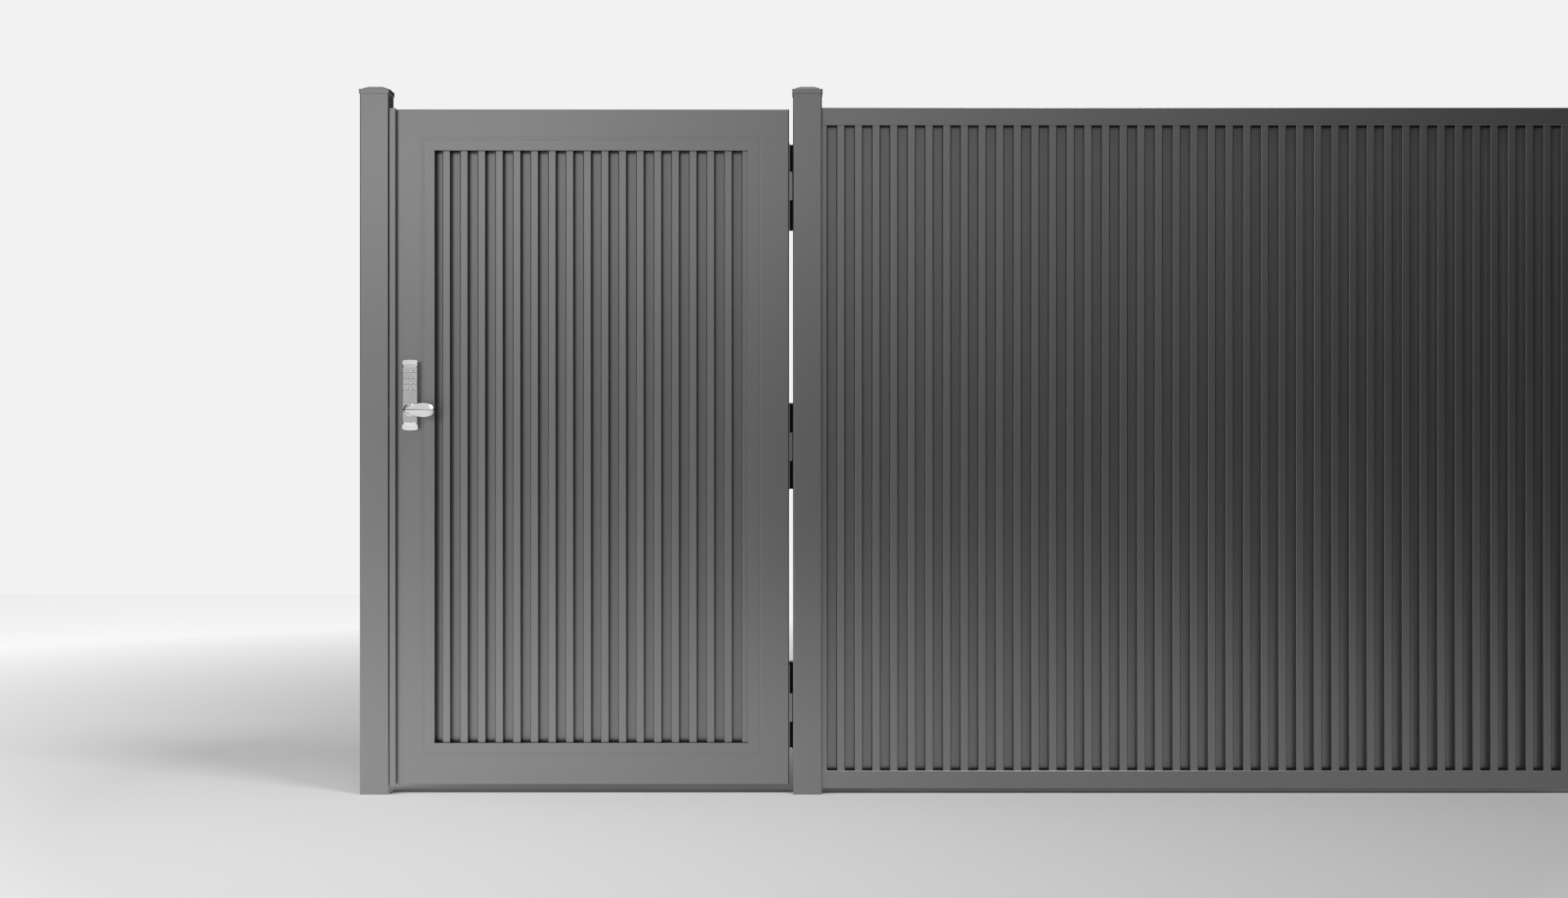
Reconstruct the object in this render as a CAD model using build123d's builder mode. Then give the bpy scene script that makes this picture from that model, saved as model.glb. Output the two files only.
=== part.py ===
from build123d import *
from math import ceil, floor, pi, sin, sqrt
import os

# Metal privacy gate with its two posts and one bay of the matching fence, in millimetres.
# The origin is the middle of the hinge post at ground level. X runs along the fence, Y to the back.

# Layout along the fence line, clear between posts
gate_opening = 1065.0
bay_length = 2390.0

# Square tube posts, cut at ground level
post_size = 76.0
post_wall = 3.0
post_corner = 3.0
post_above_leaf = 47.0

# Push-on post caps: a skirt, a sloping ledge, a step, a shallow hip and a steeper crown
cap_wall = 1.7
cap_clearance = 0.3
cap_corner = 1.8
cap_skirt = 12.0
cap_overlap = 9.0
cap_ledge_inset = 8.5
cap_ledge_rise = 1.3
cap_step_rise = 2.2
cap_hip_inset = 16.0
cap_hip_rise = 2.3
cap_crown_inset = 20.0
cap_crown_rise = 2.7

# Folded box-rib infill sheet
rib_pitch = 46.7
ridge_width = 22.2
rib_corner = 1.8
sheet = 2.0
infill_clearance = 0.5

# Fence rails, U channels that take the infill, with their ends in pockets of the posts
rail_height = 47.0
rail_depth = 32.0
rail_wall = 2.0
rail_corner = 2.0
rail_tenon = 12.0
rail_clearance = 0.5
fence_foot = 13.0
fence_below_post = 43.0
fence_first_ridge = 39.6
infill_side_gap = 0.5
infill_top_gap = 4.0

# Gate leaf, flush with the back of the posts
leaf_foot = 23.0
leaf_height = 1786.0
leaf_thickness = 50.0
latch_gap = 8.0
hinge_gap = 10.5
frame_width = 76.0
frame_wall = 3.0
frame_corner = 3.0
trim_width = 33.0
trim_wall = 2.5
trim_setback = 1.0
trim_corner = 1.0
trim_slot = 18.0
trim_bead = 4.5
trim_groove = 0.6
gate_first_ridge = 18.3

# Stop bar on the latch post, in front of the leaf
stop_width = 17.5
stop_depth = 14.0
stop_corner = 1.5
stop_gap = 6.0

# Three-knuckle hinges behind the leaf
hinge_from_end = 203.0
hinge_height = 226.0
hinge_block = 75.0
hinge_offset = 14.0
knuckle_radius = 12.0
knuckle_gap = 3.5
bearing_wall = 3.0
bearing_clearance = 0.3
pin_radius = 4.0
pin_clearance = 0.1
pin_head_radius = 7.0
pin_head_height = 4.0
pin_head_edge = 1.5
arm_plate = 1.6
block_clearance = 2.0
bracket_plate = 2.0
bracket_inset = 28.0

# Keypad lock on the latch stile
lock_backset = 48.2
spindle_height = 1013.0
case_below_spindle = 54.0
case_height = 187.0
case_width = 42.4
case_depth = 28.0
case_arch = 2.2
case_corner = 6.0
case_bevel_height = 12.0
case_bevel_depth = 7.0
case_taper = 1.2
panel_margin = 1.6
panel_depth = 0.8
button_radius = 3.6
button_clearance = 0.2
button_seat = 3.0
button_rise = 1.8
button_columns = 3
button_rows = 4
button_pitch_x = 12.7
button_pitch_z = 15.4
keypad_above_spindle = 75.0
inside_plate_depth = 12.0
inside_plate_edge = 2.0

# Lever handles on a square spindle
rose_radius = 17.4
rose_clearance = 0.2
rose_depth = 7.0
rose_edge = 2.0
neck_radius = 8.5
neck_clearance = 0.2
lever_stand = 29.5
lever_heel = 9.0
lever_reach = 69.0
lever_height = 36.8
lever_thickness = 20.0
lever_skew = 1.5
lever_fullness = 0.38
lever_tip_share = 0.015
lever_belly = 0.56
lever_stations = 9
spindle_size = 8.0
spindle_clearance = 0.1
spindle_bore_clearance = 0.5
socket_depth = 16.0

# Latch in the stile's edge and its strike in the latch post
latch_plate_width = 22.0
latch_plate_height = 140.0
strike_plate_width = 26.0
strike_plate_height = 110.0
plate_thickness = 2.0
plate_clearance = 0.2
bolt_width = 12.0
bolt_height = 16.0
bolt_length = 20.0
bolt_bevel = 5.0
bolt_clearance = 0.3

# Places worked out from the sizes above
post_half = post_size / 2
post_core = post_size - 2 * post_wall
hinge_face = -post_half
latch_face = hinge_face - gate_opening
latch_post_x = latch_face - post_half
end_post_x = post_half + bay_length + post_half
rib_depth = rail_depth - 2 * rail_wall - 2 * infill_clearance
leaf_left = latch_face + latch_gap
leaf_right = hinge_face - hinge_gap
leaf_width = leaf_right - leaf_left
leaf_top = leaf_foot + leaf_height
post_height = leaf_top + post_above_leaf
fence_top = post_height - fence_below_post
top_rail_foot = fence_top - rail_height
leaf_back = post_half
leaf_front = leaf_back - leaf_thickness
leaf_y = (leaf_front + leaf_back) / 2
hinge_middle = leaf_foot + leaf_height / 2
hinge_spacing = leaf_height / 2 - hinge_from_end
hinge_x = (leaf_right + hinge_face) / 2
hinge_y = leaf_back + hinge_offset
pin_bore = pin_radius + pin_clearance
lock_x = leaf_left + lock_backset
case_middle = spindle_height - case_below_spindle + case_height / 2
keypad_height = spindle_height + keypad_above_spindle
case_front = leaf_front - case_depth
panel_floor = case_front + panel_depth
inside_face = leaf_back + inside_plate_depth
spindle_bore = spindle_size / sqrt(2) + spindle_bore_clearance
slot_width = rib_depth + 2 * infill_clearance


def save(piece, name):
    """Labels a finished piece and writes it to a file of the same name."""
    piece.label = name
    export_step(piece, f"parts/{name}.step")


def side_plane(x, z, facing):
    """Plane on a face that looks along X, its own X along the fence's depth and its own Y upwards."""
    return Plane(origin=(x, 0, z), x_dir=(0, facing, 0), z_dir=(facing, 0, 0))


def lock_plane(y, facing):
    """Plane across the spindle's axis at a given depth, facing the front (-1) or the back (+1)."""
    return Plane(origin=(lock_x, y, 0), x_dir=(-facing, 0, 0), z_dir=(0, facing, 0))


def post(centre_x, rail_sides, strike):
    """Square tube with pockets for the rails on the sides given, and the strike's seat on the latch post."""
    with BuildPart() as tube:
        with BuildSketch(Plane.XY):
            with Locations((centre_x, 0)):
                RectangleRounded(post_size, post_size, post_corner)
                Rectangle(post_core, post_core, mode=Mode.SUBTRACT)
        extrude(amount=post_height)
        for side in rail_sides:
            for rail_foot in (fence_foot, top_rail_foot):
                with BuildSketch(side_plane(centre_x + side * post_half, rail_foot, side)):
                    pocket = (rail_depth + 2 * rail_clearance, rail_height + rail_clearance)
                    Rectangle(*pocket, align=(Align.CENTER, Align.MIN))
                extrude(amount=-2 * post_wall, mode=Mode.SUBTRACT)
        if strike:
            seat_width = strike_plate_width + 2 * plate_clearance
            seat_height = strike_plate_height + 2 * plate_clearance
            with BuildSketch(side_plane(latch_face, spindle_height, 1)):
                with Locations((leaf_y, 0)):
                    Rectangle(seat_width, seat_height)
            extrude(amount=-plate_thickness, mode=Mode.SUBTRACT)
            with BuildSketch(side_plane(latch_face, spindle_height, 1)):
                with Locations((leaf_y, 0)):
                    Rectangle(bolt_width + 2 * bolt_clearance, bolt_height + 2 * bolt_clearance)
            extrude(amount=-2 * post_wall, mode=Mode.SUBTRACT)
    return tube.part


def cap_outline(outline, centre_x, size):
    """Square outline of a cap at one level, with its corners cut off."""
    with Locations((centre_x, 0)):
        Rectangle(size, size)
    chamfer(outline.vertices(), length=cap_corner)


def post_cap(centre_x):
    """Stepped cap, its skirt over the tube and its top plate seated on the tube's end."""
    tube_pocket = post_size + 2 * cap_clearance
    cap_size = tube_pocket + 2 * cap_wall
    skirt_foot = post_height - cap_overlap
    steps = [
        (0.0, cap_ledge_inset, cap_ledge_rise),
        (cap_ledge_inset, cap_ledge_inset, cap_step_rise),
        (cap_ledge_inset, cap_hip_inset, cap_hip_rise),
        (cap_hip_inset, cap_crown_inset, cap_crown_rise),
    ]
    with BuildPart() as cap:
        with BuildSketch(Plane.XY.offset(skirt_foot)) as skirt:
            cap_outline(skirt, centre_x, cap_size)
        extrude(amount=cap_skirt)
        level = skirt_foot + cap_skirt
        for low_inset, high_inset, rise in steps:
            for inset, height in ((low_inset, level), (high_inset, level + rise)):
                with BuildSketch(Plane.XY.offset(height)) as step:
                    cap_outline(step, centre_x, cap_size - 2 * inset)
            loft(ruled=True)
            level += rise
        with BuildSketch(Plane.XY.offset(skirt_foot)):
            with Locations((centre_x, 0)):
                RectangleRounded(tube_pocket, tube_pocket, post_corner)
        extrude(amount=cap_overlap, mode=Mode.SUBTRACT)
    return cap.part


def fence_rail(foot, opens_up):
    """U channel between two posts, with its slot towards the infill."""
    slot_foot = rail_wall if opens_up else 0.0
    with BuildPart() as rail:
        with BuildSketch(side_plane(post_half - rail_tenon, foot, 1)):
            with Locations((0, rail_height / 2)):
                RectangleRounded(rail_depth, rail_height, rail_corner)
            with Locations((0, slot_foot)):
                slot = (rail_depth - 2 * rail_wall, rail_height - rail_wall)
                Rectangle(*slot, align=(Align.CENTER, Align.MIN), mode=Mode.SUBTRACT)
        extrude(amount=bay_length + 2 * rail_tenon)
    return rail.part


def rib_sheet(left, right, foot, top, middle_y, first_ridge):
    """Sheet folded into square ribs, cut off at left and right, with a ridge's edge at first_ridge."""
    first = floor((left - first_ridge) / rib_pitch) - 1
    last = ceil((right - first_ridge) / rib_pitch) + 1
    ribs = last - first + 1
    wave_middle = first_ridge + ridge_width / 2 + (first + last) / 2 * rib_pitch
    front = middle_y - rib_depth / 2
    to_front = (Align.CENTER, Align.MIN)
    with BuildSketch() as ridge:
        Rectangle(ridge_width, rib_depth - rib_corner, align=to_front)
        chamfer(ridge.vertices().group_by(Axis.Y)[0], length=rib_corner)
        with Locations((0, sheet)):
            Rectangle(ridge_width - 2 * sheet, rib_depth, align=to_front, mode=Mode.SUBTRACT)
    with BuildSketch() as valley:
        with Locations((rib_pitch / 2, rib_depth)):
            Rectangle(rib_pitch - ridge_width + 2 * sheet, sheet, align=(Align.CENTER, Align.MAX))
        chamfer(valley.vertices().group_by(Axis.Y)[-1], length=rib_corner)
    with BuildPart() as infill:
        with BuildSketch(Plane.XY.offset(foot)):
            with Locations((wave_middle, front)):
                with GridLocations(rib_pitch, 0, ribs, 1):
                    add(ridge.sketch)
                    add(valley.sketch)
            with Locations(((left + right) / 2, front)):
                Rectangle(right - left, rib_depth, align=to_front, mode=Mode.INTERSECT)
        extrude(amount=top - foot)
    return infill.part


def frame_section():
    """Rectangular tube of the leaf's outer frame, its outer face on the local Y axis."""
    with Locations((frame_width / 2, 0)):
        RectangleRounded(frame_width, leaf_thickness, frame_corner)
        core = (frame_width - 2 * frame_wall, leaf_thickness - 2 * frame_wall)
        Rectangle(*core, mode=Mode.SUBTRACT)


def trim_section():
    """Hollow C section that lines the frame and takes the edge of the infill in its slot."""
    with Locations((trim_width / 2, 0)):
        RectangleRounded(trim_width, leaf_thickness - 2 * trim_setback, trim_corner)
    with Locations((trim_width, 0)):
        Rectangle(trim_slot, slot_width, align=(Align.MAX, Align.CENTER), mode=Mode.SUBTRACT)
    offset(amount=-trim_wall, kind=Kind.INTERSECTION, mode=Mode.SUBTRACT)
    for side in (1, -1):
        with Locations((trim_bead, side * (leaf_thickness / 2 - trim_setback))):
            Rectangle(trim_groove, 2 * trim_groove, mode=Mode.SUBTRACT)


def mitred_bar(section, corner, along, inward, length):
    """Bar from one corner of a frame to the next, cut at 45 degrees at both ends."""
    far_corner = corner + along * length
    with BuildPart() as bar:
        with BuildSketch(Plane(origin=corner, x_dir=inward, z_dir=along)):
            section()
        extrude(amount=length)
        split(bisect_by=Plane(origin=corner, z_dir=along - inward), keep=Keep.TOP)
        split(bisect_by=Plane(origin=far_corner, z_dir=-along - inward), keep=Keep.TOP)
    return bar.part


def mitred_frame(section, inset):
    """The left, right, top and bottom bars of a mitred frame, inset from the leaf's edge."""
    low = Vector(leaf_left + inset, leaf_y, leaf_foot + inset)
    right_foot = Vector(leaf_right - inset, leaf_y, leaf_foot + inset)
    left_head = Vector(leaf_left + inset, leaf_y, leaf_top - inset)
    across = Vector(1, 0, 0)
    up = Vector(0, 0, 1)
    width = leaf_width - 2 * inset
    height = leaf_height - 2 * inset
    return {
        "left": mitred_bar(section, low, up, across, height),
        "right": mitred_bar(section, right_foot, up, -across, height),
        "top": mitred_bar(section, left_head, across, -up, width),
        "bottom": mitred_bar(section, low, across, up, width),
    }


def latch_stile(tube):
    """Latch side tube with the spindle's bore through it and the latch's seat in its edge."""
    with BuildPart() as stile:
        add(tube)
        with BuildSketch(lock_plane(leaf_front, -1)):
            with Locations((0, spindle_height)):
                Circle(spindle_bore)
        extrude(amount=-leaf_thickness, mode=Mode.SUBTRACT)
        with BuildSketch(side_plane(leaf_left, spindle_height, -1)):
            with Locations((-leaf_y, 0)):
                Rectangle(latch_plate_width + 2 * plate_clearance, latch_plate_height + 2 * plate_clearance)
        extrude(amount=-plate_thickness, mode=Mode.SUBTRACT)
        with BuildSketch(side_plane(leaf_left, spindle_height, -1)):
            with Locations((-leaf_y, 0)):
                Rectangle(bolt_width + 2 * bolt_clearance, bolt_height + 2 * bolt_clearance)
        extrude(amount=-2 * frame_wall, mode=Mode.SUBTRACT)
    return stile.part


def edge_plate(face, facing, width, height):
    """Flat plate let into a face that looks along X, with the latch bolt's hole in it."""
    with BuildPart() as plate:
        with BuildSketch(side_plane(face, spindle_height, facing)):
            with Locations((facing * leaf_y, 0)):
                Rectangle(width, height)
                bolt_hole = (bolt_width + 2 * bolt_clearance, bolt_height + 2 * bolt_clearance)
                Rectangle(*bolt_hole, mode=Mode.SUBTRACT)
        extrude(amount=-plate_thickness)
    return plate.part


def knuckle_section(plate_x, plate_width, plate_y):
    """One hinge knuckle, bored for the pin, with the plate that carries it."""
    with Locations((hinge_x, hinge_y)):
        Circle(knuckle_radius)
    with Locations((plate_x, plate_y)):
        Rectangle(plate_width, hinge_y - plate_y, align=(Align.MIN, Align.MIN))
    with Locations((hinge_x, hinge_y)):
        Circle(pin_bore, mode=Mode.SUBTRACT)


def hinge_bracket(middle):
    """Post side of a hinge: a knuckle above and one below the block, the lower with a bearing boss."""
    knuckle_height = (hinge_height - hinge_block) / 2 - knuckle_gap
    lower_foot = middle - hinge_height / 2
    lower_top = lower_foot + knuckle_height
    upper_foot = middle + hinge_block / 2 + knuckle_gap
    with BuildPart() as bracket:
        for foot in (lower_foot, upper_foot):
            with BuildSketch(Plane.XY.offset(foot)):
                knuckle_section(hinge_face - bracket_plate, bracket_plate, leaf_front + bracket_inset)
            extrude(amount=knuckle_height)
        with BuildSketch(Plane.XY.offset(lower_top)):
            with Locations((hinge_x, hinge_y)):
                Circle(pin_bore + bearing_wall)
                Circle(pin_bore, mode=Mode.SUBTRACT)
        extrude(amount=knuckle_gap - bearing_clearance)
    return bracket.part


def hinge_arm(middle):
    """Leaf side of a hinge: a plate on the stile's edge and a block that reaches back to the knuckle."""
    with BuildPart() as arm:
        with BuildSketch(Plane.XY.offset(middle - hinge_height / 2)):
            with Locations((leaf_right, leaf_front)):
                Rectangle(arm_plate, leaf_thickness, align=(Align.MIN, Align.MIN))
        extrude(amount=hinge_height)
        with BuildSketch(Plane.XY.offset(middle - hinge_block / 2)):
            knuckle_section(leaf_right, hinge_gap - block_clearance, leaf_front)
        extrude(amount=hinge_block)
    return arm.part


def hinge_pin(middle):
    """Headed pin through the three knuckles, its head on the upper one."""
    with BuildPart() as pin:
        with BuildSketch(Plane.XY.offset(middle - hinge_height / 2)):
            with Locations((hinge_x, hinge_y)):
                Circle(pin_radius)
        extrude(amount=hinge_height)
        with BuildSketch(Plane.XY.offset(middle + hinge_height / 2)):
            with Locations((hinge_x, hinge_y)):
                Circle(pin_head_radius)
        extrude(amount=pin_head_height)
        chamfer(pin.edges().group_by(Axis.Z)[-1], length=pin_head_edge)
    return pin.part


def case_plane(y, facing):
    """Plane across the lock at a given depth, its origin at the middle of the case."""
    return Plane(origin=(lock_x, y, case_middle), x_dir=(-facing, 0, 0), z_dir=(0, facing, 0))


def case_outline(outline, inset, end_inset):
    """Outline of the lock, its ends arched and its corners rounded, inset all round and more at its ends."""
    width = case_width - 2 * inset
    height = case_height - 2 * inset - 2 * end_inset
    arch_radius = (case_width**2 / 4 + case_arch**2) / (2 * case_arch)
    Rectangle(width, height)
    for side in (1, -1):
        with Locations((0, side * (height / 2 - arch_radius))):
            Circle(arch_radius, mode=Mode.INTERSECT)
    fillet(outline.vertices(), radius=case_corner - inset)


def lock_case():
    """Lock housing with arched, bevelled ends, a sunk front panel, button seats and the spindle's bore."""
    bevel_foot = case_front + case_bevel_depth
    with BuildPart() as case:
        with BuildSketch(case_plane(leaf_front, -1)) as body:
            case_outline(body, 0.0, 0.0)
        extrude(amount=case_depth - case_bevel_depth)
        with BuildSketch(case_plane(bevel_foot, -1)) as bevel_low:
            case_outline(bevel_low, 0.0, 0.0)
        with BuildSketch(case_plane(case_front, -1)) as bevel_high:
            case_outline(bevel_high, case_taper, case_bevel_height - case_taper)
        loft(ruled=True)
        with BuildSketch(case_plane(case_front, -1)) as panel:
            case_outline(panel, case_taper + panel_margin, case_bevel_height - case_taper)
            with Locations((0, spindle_height - case_middle)):
                Circle(rose_radius + rose_clearance)
        extrude(amount=-panel_depth, mode=Mode.SUBTRACT)
        with BuildSketch(lock_plane(case_front, -1)):
            with Locations((0, keypad_height)):
                with GridLocations(button_pitch_x, button_pitch_z, button_columns, button_rows):
                    Circle(button_radius + button_clearance)
        extrude(amount=-panel_depth - button_seat, mode=Mode.SUBTRACT)
        with BuildSketch(lock_plane(case_front, -1)):
            with Locations((0, spindle_height)):
                Circle(spindle_bore)
        extrude(amount=-case_depth, mode=Mode.SUBTRACT)
    return case.part


def keypad_buttons():
    """Push buttons, each seated in its own bore of the panel."""
    with BuildPart() as buttons:
        with BuildSketch(lock_plane(panel_floor + button_seat, -1)):
            with Locations((0, keypad_height)):
                with GridLocations(button_pitch_x, button_pitch_z, button_columns, button_rows):
                    Circle(button_radius)
        extrude(amount=button_seat + button_rise)
    return buttons.part


def inside_plate():
    """Back half of the lock: a plate of the same outline with bevelled edges and the spindle's bore."""
    with BuildPart() as plate:
        with BuildSketch(case_plane(leaf_back, 1)) as body:
            case_outline(body, 0.0, 0.0)
        extrude(amount=inside_plate_depth)
        chamfer(plate.faces().sort_by(Axis.Y)[-1].edges(), length=inside_plate_edge)
        with BuildSketch(lock_plane(leaf_back, 1)):
            with Locations((0, spindle_height)):
                Circle(spindle_bore)
        extrude(amount=inside_plate_depth, mode=Mode.SUBTRACT)
    return plate.part


def rose(face, facing):
    """Round collar that the lever's neck turns in."""
    with BuildPart() as collar:
        with BuildSketch(lock_plane(face, facing)):
            with Locations((0, spindle_height)):
                Circle(rose_radius)
                Circle(neck_radius + neck_clearance, mode=Mode.SUBTRACT)
        extrude(amount=rose_depth)
        front = collar.faces().filter_by(Axis.Y).sort_by(Axis.Y)[0 if facing < 0 else -1]
        chamfer(front.outer_wire().edges(), length=rose_edge)
    return collar.part


def lever(face, facing):
    """Lever on a round neck: an almond-shaped blade ridged along its middle, with the spindle's socket."""
    blade_y = face + facing * lever_stand
    quarter = [(-1.0, 0.0), (-lever_belly, lever_belly), (0.0, 1.0), (lever_belly, lever_belly)]
    lens = quarter + [(-across, -up) for across, up in quarter]
    with BuildPart() as handle:
        for station in range(lever_stations):
            share = lever_tip_share + station / (lever_stations - 1) * (1 - 2 * lever_tip_share)
            fullness = sin(pi * share**lever_skew) ** lever_fullness
            half_height = lever_height / 2 * fullness
            half_thickness = lever_thickness / 2 * fullness
            along = share * (lever_heel + lever_reach) - lever_heel
            corners = []
            for across, up in lens:
                corners.append((blade_y + across * half_thickness, spindle_height + up * half_height))
            with BuildSketch(Plane.YZ.offset(lock_x + along)):
                with BuildLine():
                    Polyline(*corners, close=True)
                make_face()
        loft(ruled=True)
        with BuildSketch(lock_plane(face + facing * neck_clearance, facing)):
            with Locations((0, spindle_height)):
                Circle(neck_radius)
        extrude(amount=lever_stand - neck_clearance)
        with BuildSketch(lock_plane(face, facing)):
            with Locations((0, spindle_height)):
                Rectangle(spindle_size + 2 * spindle_clearance, spindle_size + 2 * spindle_clearance)
        extrude(amount=socket_depth, mode=Mode.SUBTRACT)
    return handle.part


def lever_spindle():
    """Square bar from the outside lever's socket to the inside lever's."""
    spindle_front = panel_floor - socket_depth
    spindle_back = inside_face + socket_depth
    with BuildPart() as spindle:
        with BuildSketch(lock_plane(spindle_front, 1)):
            with Locations((0, spindle_height)):
                Rectangle(spindle_size, spindle_size)
        extrude(amount=spindle_back - spindle_front)
    return spindle.part


def latch_bolt():
    """Bevelled latch bolt, drawn back until its tip is level with the latch plate."""
    with BuildPart() as bolt:
        with BuildSketch(side_plane(leaf_left, spindle_height, -1)):
            with Locations((-leaf_y, 0)):
                Rectangle(bolt_width, bolt_height)
        extrude(amount=-bolt_length)
        tip = bolt.edges().filter_by(Axis.Z).group_by(Axis.X)[0]
        chamfer(tip.sort_by(Axis.Y)[0], length=bolt_bevel)
    return bolt.part


def gate_stop():
    """Bar up the latch post that the leaf closes against."""
    with BuildPart() as bar:
        with BuildSketch(Plane.XY.offset(leaf_foot)):
            with Locations((latch_face + stop_width / 2, leaf_front - stop_gap - stop_depth / 2)):
                RectangleRounded(stop_width, stop_depth, stop_corner)
        extrude(amount=leaf_height)
    return bar.part


os.makedirs("parts", exist_ok=True)

# The three posts with their caps
posts = {
    "latch_post": (latch_post_x, (), True),
    "hinge_post": (0.0, (1,), False),
    "end_post": (end_post_x, (-1,), False),
}
for name, (centre_x, rail_sides, strike) in posts.items():
    save(post(centre_x, rail_sides, strike), name)
    save(post_cap(centre_x), f"{name}_cap")
save(gate_stop(), "gate_stop")
save(edge_plate(latch_face, 1, strike_plate_width, strike_plate_height), "strike_plate")

# The fence bay
save(fence_rail(fence_foot, True), "fence_bottom_rail")
save(fence_rail(top_rail_foot, False), "fence_top_rail")
bay_left = post_half + infill_side_gap
bay_right = post_half + bay_length - infill_side_gap
bay_sheet_foot = fence_foot + rail_wall
bay_sheet_top = fence_top - rail_wall - infill_top_gap
bay_first_ridge = post_half + fence_first_ridge
save(rib_sheet(bay_left, bay_right, bay_sheet_foot, bay_sheet_top, 0.0, bay_first_ridge), "fence_infill")

# The gate leaf
frame = mitred_frame(frame_section, 0.0)
save(latch_stile(frame["left"]), "gate_latch_stile")
save(frame["right"], "gate_hinge_stile")
save(frame["top"], "gate_top_rail")
save(frame["bottom"], "gate_bottom_rail")
trim = mitred_frame(trim_section, frame_width)
for side, bar in trim.items():
    save(bar, f"gate_trim_{side}")
slot_inset = frame_width + trim_width - trim_slot
leaf_sheet_left = leaf_left + slot_inset + infill_side_gap
leaf_sheet_right = leaf_right - slot_inset - infill_side_gap
leaf_sheet_foot = leaf_foot + slot_inset
leaf_sheet_top = leaf_top - slot_inset - infill_top_gap
leaf_first_ridge = leaf_left + frame_width + trim_width + gate_first_ridge
leaf_sheet = rib_sheet(
    leaf_sheet_left, leaf_sheet_right, leaf_sheet_foot, leaf_sheet_top, leaf_y, leaf_first_ridge
)
save(leaf_sheet, "gate_infill")

# The hinges
hinge_levels = {
    "upper": hinge_middle + hinge_spacing,
    "middle": hinge_middle,
    "lower": hinge_middle - hinge_spacing,
}
for level_name, level in hinge_levels.items():
    save(hinge_bracket(level), f"hinge_bracket_{level_name}")
    save(hinge_arm(level), f"hinge_arm_{level_name}")
    save(hinge_pin(level), f"hinge_pin_{level_name}")

# The lock, its latch and its levers
save(lock_case(), "lock_case")
save(keypad_buttons(), "keypad_buttons")
save(inside_plate(), "inside_plate")
save(rose(panel_floor, -1), "lock_rose")
save(rose(inside_face, 1), "inside_rose")
save(edge_plate(leaf_left, -1, latch_plate_width, latch_plate_height), "latch_plate")
save(latch_bolt(), "latch_bolt")
save(lever(panel_floor, -1), "outside_lever")
save(lever(inside_face, 1), "inside_lever")
save(lever_spindle(), "lever_spindle")
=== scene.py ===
import bpy
import numpy as np
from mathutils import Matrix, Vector


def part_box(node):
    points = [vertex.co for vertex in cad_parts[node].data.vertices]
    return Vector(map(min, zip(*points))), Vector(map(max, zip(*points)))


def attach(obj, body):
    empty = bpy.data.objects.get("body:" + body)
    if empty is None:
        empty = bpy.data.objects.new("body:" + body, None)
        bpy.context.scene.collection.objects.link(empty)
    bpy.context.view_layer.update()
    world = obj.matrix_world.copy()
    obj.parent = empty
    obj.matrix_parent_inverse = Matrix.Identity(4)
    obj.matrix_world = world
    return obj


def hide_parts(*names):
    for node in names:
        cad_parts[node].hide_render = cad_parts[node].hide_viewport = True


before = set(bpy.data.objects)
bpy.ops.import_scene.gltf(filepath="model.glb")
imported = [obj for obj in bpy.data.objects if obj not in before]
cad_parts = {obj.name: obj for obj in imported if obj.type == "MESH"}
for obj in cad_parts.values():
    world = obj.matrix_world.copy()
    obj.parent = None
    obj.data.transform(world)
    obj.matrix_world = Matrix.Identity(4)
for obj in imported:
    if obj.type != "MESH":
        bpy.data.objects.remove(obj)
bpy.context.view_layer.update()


# The three posts: square tubes set in the ground, with one coat of gray powder baked on.
# The powder holds fine metal flake, so the satin coat mirrors its surroundings softly; it shows
# a fine orange peel and a very faint drift of tone along each length.
def fill(tree, node, inputs):
    """Fills a node's inputs, by name or number: another node's output is joined, a value is set."""
    for key, value in inputs.items():
        if isinstance(value, bpy.types.NodeSocket):
            tree.links.new(value, node.inputs[key])
        else:
            node.inputs[key].default_value = value


def add(tree, kind, inputs=None, **settings):
    """Adds a node of a kind to a tree, with its settings and inputs, and gives its outputs."""
    node = tree.nodes.new(f"ShaderNode{kind}")
    for setting, value in settings.items():
        setattr(node, setting, value)
    fill(tree, node, inputs or {})
    return node.outputs


def skin_group(name, inputs, outputs):
    """Empty node group for the skin of a finish, with its sockets by name and kind. Gives the group,
    the values that come in, and the node that puts the results out."""
    group = bpy.data.node_groups.new(name, "ShaderNodeTree")
    for direction, sockets in (("INPUT", inputs), ("OUTPUT", outputs)):
        for label, kind in sockets.items():
            group.interface.new_socket(label, in_out=direction, socket_type=f"NodeSocket{kind}")
    return group, group.nodes.new("NodeGroupInput").outputs, group.nodes.new("NodeGroupOutput")


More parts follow.
